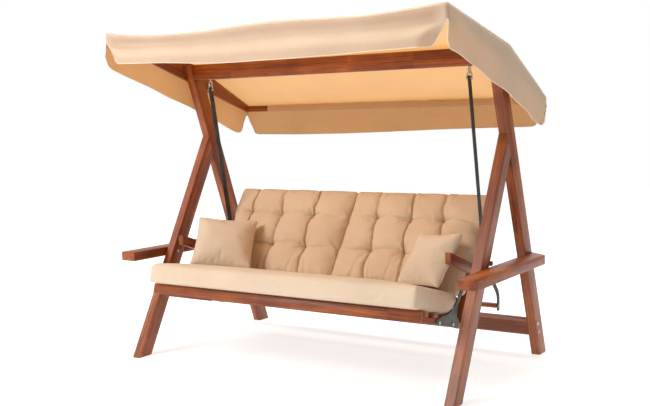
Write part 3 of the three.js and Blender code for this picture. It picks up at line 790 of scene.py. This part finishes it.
def make_sleeve(material):
    """The sleeve sewn under the roof, which the rear rail slides into; one end of the rail shows."""
    low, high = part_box("canopy_rear_rail")
    cy, cz = (low[1] + high[1]) / 2, (low[2] + high[2]) / 2
    ring = [
        (cy + (y - cy) * 1.16, cz + (z - cz) * 1.07)
        for y, z in ((low[1], low[2]), (high[1], low[2]), (high[1], high[2]), (low[1], high[2]))
    ]
    around = []
    for a, b in zip(ring, ring[1:] + ring[:1]):
        around += [(a[0] + (b[0] - a[0]) * f, a[1] + (b[1] - a[1]) * f) for f in (0.06, 0.5, 0.94)]
    columns = np.linspace(-0.905, 1.080, 120)
    points = []
    for x in columns:
        for k, (y, z) in enumerate(around):
            wave = 0.0012 * math.sin(31 * x + k) + 0.0008 * math.sin(77 * x + 2 * k)
            points.append((x + 0.002 * math.sin(k), y + wave, z + wave))
    mesh = mesh_from("rear_sleeve", points, ring_faces(len(columns), len(around)))
    return make_object("rear_sleeve", mesh, "stand", material)


def make_canopy(valance_material, roof_material, shaded_material, lit_sleeve_material, piping_material):
    points, faces, slots, hems = canopy_cloth()
    mesh = mesh_from("canopy", points, faces)
    canopy = make_object("canopy_cloth", mesh, "stand", valance_material)
    mesh.materials.append(roof_material)
    mesh.materials.append(shaded_material)
    mesh.polygons.foreach_set("material_index", slots)
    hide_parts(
        "canopy_roof_front", "canopy_roof_rear",
        "valance_front", "valance_rear", "valance_left", "valance_right",
    )
    cords = join_parts("canopy_piping", [tube(hem, 0.0024, 8) for hem in hems])
    edging = make_object("canopy_piping", cords, "stand", piping_material)
    sleeve = make_sleeve(lit_sleeve_material)


# ------------------------------------------------------------------ cushions
def make_seat_cushion(material):
    """The seat cushion, in the tilted seat's own axes: x across, y back and z up from its slats."""
    low, high = np.array((-0.902, -0.062, 0.0605)), np.array((0.902, 0.545, 0.170))
    points, faces = even_box(low, high, 0.016)
    points = round_box(points, low, high, (0.016, 0.018, 0.014))
    x, y, z = points.T
    # the rear half is stretched to meet the back cushions, and drawn in at its two ends, most low down
    end = smoothstep(0.72, 0.885, np.abs(x))
    rear_middle = 0.580 - 0.065 * smoothstep(0.12, 0.06, z)
    rear_end = 0.385 + 1.05 * (z - 0.087)
    rear = (1 - end) * rear_middle + end * rear_end
    half_way = 0.25
    stretch = (rear - half_way) / (high[1] - half_way)
    y = np.where(y > half_way, half_way + (y - half_way) * stretch, y)
    crown = (1 - np.abs(x / 0.902) ** 6) * (1 - np.abs((y - 0.24) / 0.31) ** 4)
    z = z + 0.028 * np.maximum(crown, 0) * smoothstep(0.150, 0.170, z)
    points = np.stack([x, y, z], axis=1)
    held = (points[:, 2] < 0.066).astype(float)
    points = inflate("seat_cushion", points, faces, 1.4, 12, grow=0.010, held=held, cap=0.009)
    mesh = mesh_from("seat_cushion", points, faces)
    mesh.transform(SEAT)
    pad = make_object("seat_pad", mesh, "seat", material)
    subdivide(pad)
    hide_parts("seat_cushion")


TUFT_ROWS = (0.355, 0.585)
# Distances of the tufts from the middle of the bench, in the lower and the upper row of each side
TUFTS = {
    -1: ((0.243, 0.486, 0.722), (0.256, 0.502, 0.742)),
    1: ((0.236, 0.464, 0.682), (0.214, 0.440, 0.658)),
}


def tufts(side):
    for row, columns in zip(TUFT_ROWS, TUFTS[side]):
        for column in columns:
            yield column, row


def pleat_paths(side, x, z):
    """Signed distance to each sewn pleat of the back cushion's face, with how deep it is there."""
    low, high = TUFTS[side]
    up = (z - TUFT_ROWS[0]) / (TUFT_ROWS[1] - TUFT_ROWS[0])
    for k in range(3):
        column = low[k] + (high[k] - low[k]) * up
        wander = 0.007 * np.sin(up * math.pi + 0.3 * side) * (-1) ** k
        wander += 0.0035 * np.sin(37 * z + 2.1 * k + 5 * side) * np.sin(math.pi * up)
        near = sum(np.exp(-(((z - row) / 0.05) ** 2)) for row in TUFT_ROWS)
        yield (x - column - wander) * (-1 if k == 1 else 1), 0.70 + 0.35 * near
    for k, row in enumerate(TUFT_ROWS):
        columns = TUFTS[side][k]
        wander = 0.007 * np.sin((x - columns[0]) / 0.228 * math.pi + k)
        wander += 0.0035 * np.sin(31 * x + 3 * k + side)
        near = sum(np.exp(-(((x - column) / 0.05) ** 2)) for column in columns)
        edge = smoothstep(0.02, 0.16, x) * smoothstep(0.88, 0.76, x)
        yield (row + wander - z), (0.20 + 0.45 * near) * (0.25 + 0.75 * edge)


def valleys(side, x, z):
    """The broad hollows along the pleats and the dimples at the tufts."""
    depth = np.zeros_like(x)
    for away, share in pleat_paths(side, x, z):
        depth += 0.0085 * share * np.exp(-np.abs(away) / 0.034)
    for column, row in tufts(side):
        depth += 0.032 * np.exp(-np.hypot(x - column, z - row) / 0.030)
    return depth * (1 - 0.65 * smoothstep(0.715, 0.785, z))


def creases(side, x, z):
    """Sharp folds: steep on one side, with fine puckers round each tuft and along the lower edge."""
    depth = np.zeros_like(x)
    for away, share in pleat_paths(side, x, z):
        steep = np.exp(-np.abs(away) / np.where(away > 0, 0.0024, 0.0070))
        depth += 0.026 * share * steep
    for k, (column, row) in enumerate(tufts(side)):
        away = np.hypot(x - column, z - row)
        angle = np.arctan2(z - row, x - column)
        ripple = np.cos(9 * angle + 2 * k + side) + 0.6 * np.cos(5 * angle + k)
        depth += 0.0050 * ripple * np.exp(-away / 0.042) * smoothstep(0.004, 0.02, away)
    for k, column in enumerate(TUFTS[side][0]):
        fan = (x - column) / (0.030 + 0.32 * (TUFT_ROWS[0] - z))
        low = smoothstep(0.330, 0.22, z)
        for at in (-0.85 + 0.1 * k, 0.62 - 0.08 * k):
            depth += 0.011 * low * np.exp(-np.abs(fan - at) / 0.050)
    for k, column in enumerate(TUFTS[side][1]):
        fan = (x - column) / (0.020 + 0.22 * (z - TUFT_ROWS[1]))
        high = smoothstep(0.62, 0.74, z)
        depth += 0.006 * high * np.exp(-np.abs(fan - 0.7 * (-1) ** k) / 0.060)
    hem = smoothstep(0.24, 0.13, z)
    depth += 0.0022 * hem * (np.sin(150 * x + 4 * np.sin(17 * x)) + np.sin(83 * x))
    depth += 0.0016 * np.sin(46 * x + 9 * z + 3 * np.sin(21 * z)) * np.sin(38 * z + 2 * side)
    return depth


def make_back_cushion(label, side, material):
    """One back cushion, in the leaning backrest's own axes. Both are shaped as if they were on the
    right, with x running out from the middle of the bench, and the left one is mirrored."""
    low, high = np.array((0.003, -0.138, 0.128)), np.array((0.893, -0.0185, 0.786))
    mirror = np.array((side, 1, 1))
    points, faces = box_points(
        grid_lines(low[0], high[0], 0.0125, np.mean(TUFTS[side], axis=0), reach=0.024),
        grid_lines(low[1], high[1], 0.0135),
        grid_lines(low[2], high[2], 0.0125, TUFT_ROWS),
    )
    if side < 0:
        faces = [tuple(f)[::-1] for f in faces]
    points = round_box(points, low, high, (0.026, 0.034, 0.026))
    x, y, z = points.T
    front = smoothstep(-0.060, -0.122, y)
    crown = 0.046 * (1 - np.abs((x - 0.448) / 0.448) ** 4) * (1 - np.abs((z - 0.457) / 0.335) ** 4)
    y = y - front * (np.maximum(crown, 0) - valleys(side, x, z))
    share = (high[2] - z) / (high[2] - low[2])
    z = z + 0.045 * share * np.clip((y + 0.138) / 0.118, -0.5, 1)
    narrow = 1 - 0.034 * (1 - smoothstep(0.395, 0.430, z)) * smoothstep(0.6, 0.9, x)
    points = np.stack([x * narrow, y, z], axis=1)
    knots = (points[:, 1] > -0.022).astype(float)
    for away, _ in pleat_paths(side, x, z):
        knots = np.maximum(knots, 0.55 * ((np.abs(away) < 0.006) & (y < -0.07)))
    for column, row in tufts(side):
        away = np.hypot(x - column, z - row)
        knots = np.maximum(knots, ((away < 0.014) & (y < -0.06)).astype(float))
    moved = inflate("back_" + label, points * mirror, faces, 2.4, 14, grow=0.03, held=knots, cap=0.018)
    points = moved * mirror
    mesh = mesh_from("back_cushion_" + label, points * mirror, faces)
    pad = make_object("back_pad_" + label, mesh, "backrest", material)
    subdivide(pad)
    x, y, z = (coordinates(pad.data) * mirror).T
    y = y + smoothstep(-0.085, -0.120, y) * creases(side, x, z)
    # narrower below the seat arms than above them, and widest at the top
    wider = smoothstep(0.50, 0.62, z)
    limit = 0.8655 + 0.030 * smoothstep(0.400, 0.430, z) + 0.020 * wider
    x = np.clip(x + 0.020 * wider * smoothstep(0.55, 0.88, x), 0.0015, limit)
    set_coordinates(pad.data, np.stack([x, y, z], axis=1) * mirror)
    pad.data.transform(BACK)
    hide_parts("back_cushion_" + label)


PILLOWS = {
    "left": {"at": (-0.697, -0.186, 0.690), "turn": 35, "lean": 45, "roll": 6.6, "size": 0.380},
    "right": {"at": (0.694, -0.082, 0.656), "turn": -26, "lean": 37, "roll": -6.2, "size": 0.345},
}


def make_pillow(label, at, turn, lean, roll, size, material):
    """A square pillow with its rim pinched flat. turn, lean and roll are in degrees."""
    half = size / 2
    lines = grid_lines(-half, half, 0.0105)
    points, faces = box_points(lines, np.linspace(-0.014, 0.014, 3), lines)
    rim = np.maximum(np.abs(points[:, 0]), np.abs(points[:, 2])) > half - 1e-6
    x, y, z = points.T
    puff = (1 - (np.abs(x) / half) ** 2.2) * (1 - (np.abs(z) / half) ** 2.2)
    y = np.where(rim, y * 0.35, y * (0.7 + 3.4 * np.maximum(puff, 0) ** 0.5))
    draw = 0.052  # how far the middle of each edge is drawn in
    u, w = x / half, z / half
    points = np.stack([x * (1 - draw * (1 - w**2)), y, z * (1 - draw * (1 - u**2))], axis=1)
    pinned = rim * 0.6
    points = inflate(
        "pillow_" + label, points, faces, 3.2, 18, grow=0.03, held=pinned, cap=0.034, bend=0.12
    )
    mesh = mesh_from("pillow_" + label, points, faces)
    turned = Matrix.Rotation(math.radians(turn), 4, "Z") @ Matrix.Rotation(math.radians(-lean), 4, "X")
    mesh.transform(Matrix.Translation(at) @ turned @ Matrix.Rotation(math.radians(roll), 4, "Y"))
    pad = make_object("throw_pillow_" + label, mesh, "backrest", material)
    subdivide(pad)
    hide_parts("pillow_" + label)


# ------------------------------------------------------------------ the scene
CLOTH_LIGHT, CLOTH_DARK = (0.70, 0.565, 0.430), (0.63, 0.495, 0.365)
# painted shade: the back cushions get a darker, warmer copy of the seat's cloth, standing in for the warm shade
# they sit in under the canopy
SHADED_BACK_LIGHT, SHADED_BACK_DARK = (0.66, 0.490, 0.335), (0.59, 0.425, 0.280)
# painted light: the rail's sleeve gets a lighter, more orange copy of the canopy's cloth, standing in for the warm
# light that reaches it under the roof
LIT_SLEEVE_LIGHT, LIT_SLEEVE_DARK = (0.86, 0.52, 0.27), (0.78, 0.46, 0.23)
PIPING_LIGHT, PIPING_DARK = (0.86, 0.74, 0.62), (0.78, 0.66, 0.53)
# GLOW tints the light through the cloth; SHADE_GLOW is the deeper tint of the painted-shade copy on the left and
# rear valances
GLOW, SHADE_GLOW = (1.0, 0.66, 0.30), (1.0, 0.56, 0.22)


def make_cloths():
    """The canopy's five materials, in the order in which make_canopy takes them."""
    thread = 0.0011
    return (
        cloth_material("valance_cloth", CLOTH_LIGHT, CLOTH_DARK, thread, 0.24, GLOW, gloss=0.5),
        cloth_material("roof_cloth", CLOTH_LIGHT, CLOTH_DARK, thread, 0.55, GLOW),
        # painted shade: a copy of the same cloth that lets more, deeper-tinted light through, so the left and rear
        # valances look darker and warmer from inside
        cloth_material("shaded_cloth", CLOTH_LIGHT, CLOTH_DARK, thread, 0.54, SHADE_GLOW),
        # painted light: a lighter, more orange copy of the canopy cloth for the sleeve
        cloth_material("lit_sleeve_cloth", LIT_SLEEVE_LIGHT, LIT_SLEEVE_DARK, thread, 0.20, GLOW),
        cloth_material("piping_cloth", PIPING_LIGHT, PIPING_DARK, 0.0009),
    )


make_camera()
make_studio()
make_timber()
make_bolts(make_metal())
make_canopy(*make_cloths())
CUSHION_CLOTH = cloth_material("cushion_cloth", CLOTH_LIGHT, CLOTH_DARK, 0.0012)
# painted shade: a darker, warmer copy of the cushion cloth for the back cushions
SHADED_BACK_CLOTH = cloth_material("back_cloth", SHADED_BACK_LIGHT, SHADED_BACK_DARK, 0.0012)
make_seat_cushion(CUSHION_CLOTH)
for LABEL, SIDE in SIDES:
    make_back_cushion(LABEL, SIDE, SHADED_BACK_CLOTH)
    make_pillow(LABEL, material=CUSHION_CLOTH, **PILLOWS[LABEL])
